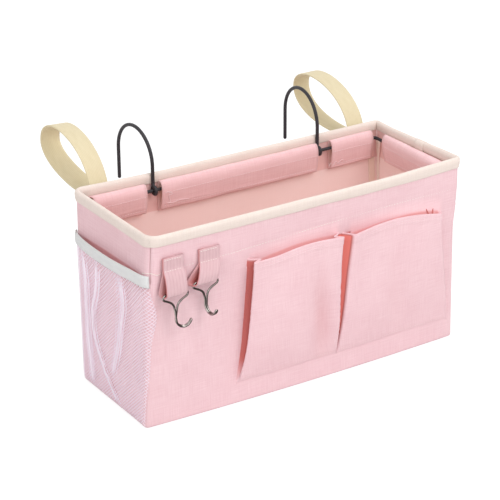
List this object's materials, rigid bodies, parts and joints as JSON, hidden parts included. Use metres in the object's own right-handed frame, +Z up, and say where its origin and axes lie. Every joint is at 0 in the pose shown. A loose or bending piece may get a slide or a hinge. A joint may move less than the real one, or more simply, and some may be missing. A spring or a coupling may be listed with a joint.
{
  "type": "bedside caddy",
  "caption": "Box-shaped canvas organizer kept open by a wire ring, with front pockets, mesh end pockets, key hooks, webbing straps and wire hooks that hang it over a bed rail.",
  "frame": {"origin": "middle of the underside of the bottom panel", "axes": "+X along the length to the right as seen from the front, -Y out of the front where the pockets are, +Z up"},
  "size_m": [0.3696, 0.2647, 0.2409],
  "materials": {
    "canvas": "plain woven canvas",
    "lining": "plain woven lining",
    "cream_tape": "folded cotton tape",
    "cream_webbing": "ribbed webbing",
    "lilac_webbing": "ribbed webbing",
    "black_wire": "satin black coating",
    "bright_metal": "bright nickel",
    "net": "fine net",
    "elastic": "ribbed elastic",
    "board": "grey board"
  },
  "bodies": {
    "bag": {"front_panel": "canvas", "back_panel": "canvas", "left_end_panel": "canvas", "right_end_panel": "canvas", "bottom_panel": "canvas", "base_seam_tape": "cream_tape", "base_board": "board", "floor_lining": "lining", "rim_binding": "cream_tape", "back_right_corner_tape": "cream_tape", "back_left_corner_tape": "cream_tape", "front_left_corner_tape": "cream_tape", "front_right_corner_tape": "cream_tape", "frame_wire": "black_wire", "frame_joining_tube": "black_wire", "back_sleeve_left": "canvas", "back_sleeve_middle": "canvas", "back_sleeve_right": "canvas", "left_sleeve": "canvas", "front_sleeve": "canvas", "right_sleeve": "canvas", "strap_sewn_end_left": "cream_webbing", "strap_sewn_end_right": "cream_webbing", "tab_sewn_top_left": "lilac_webbing", "tab_sewn_top_right": "lilac_webbing", "front_pocket_left": "canvas", "front_pocket_right": "canvas", "mesh_pocket_left": "net", "mesh_pocket_right": "net", "mesh_binding_left": "elastic", "mesh_binding_right": "elastic"},
    "bed_hook_left": {"bed_hook_left": "black_wire"},
    "bed_hook_right": {"bed_hook_right": "black_wire"},
    "strap_left": {"strap_loop_left": "cream_webbing"},
    "strap_right": {"strap_loop_right": "cream_webbing"},
    "tab_left": {"tab_loop_left": "lilac_webbing"},
    "tab_right": {"tab_loop_right": "lilac_webbing"},
    "key_hook_left": {"key_hook_left": "bright_metal"},
    "key_hook_right": {"key_hook_right": "bright_metal"}
  },
  "joints": [
    {"name": "bed_hook_left_turn", "type": "hinge", "parent": "bag", "child": "bed_hook_left", "pos_m": [-0.097, 0.0602, 0.1842], "axis": [1, 0, 0], "range_deg": [0, 180]},
    {"name": "bed_hook_right_turn", "type": "hinge", "parent": "bag", "child": "bed_hook_right", "pos_m": [0.097, 0.0602, 0.1842], "axis": [1, 0, 0], "range_deg": [0, 180]},
    {"name": "strap_left_bend", "type": "hinge", "parent": "bag", "child": "strap_left", "pos_m": [-0.151, 0.0717, 0.1864], "axis": [1, 0, 0], "range_deg": [-50, 15], "stiffness_Nm_per_rad": 0.1},
    {"name": "strap_right_bend", "type": "hinge", "parent": "bag", "child": "strap_right", "pos_m": [0.151, 0.0717, 0.1864], "axis": [1, 0, 0], "range_deg": [-50, 15], "stiffness_Nm_per_rad": 0.1},
    {"name": "tab_left_lift", "type": "hinge", "parent": "bag", "child": "tab_left", "pos_m": [-0.151, -0.06915, 0.16205], "axis": [1, 0, 0], "range_deg": [-70, 0]},
    {"name": "tab_right_lift", "type": "hinge", "parent": "bag", "child": "tab_right", "pos_m": [-0.1125, -0.06915, 0.16205], "axis": [1, 0, 0], "range_deg": [-70, 0]},
    {"name": "key_hook_left_swing", "type": "hinge", "parent": "tab_left", "child": "key_hook_left", "pos_m": [-0.151, -0.0724, 0.14085], "axis": [1, 0, 0], "range_deg": [-90, 5]},
    {"name": "key_hook_right_swing", "type": "hinge", "parent": "tab_right", "child": "key_hook_right", "pos_m": [-0.1125, -0.0724, 0.14535], "axis": [1, 0, 0], "range_deg": [-90, 5]}
  ]
}
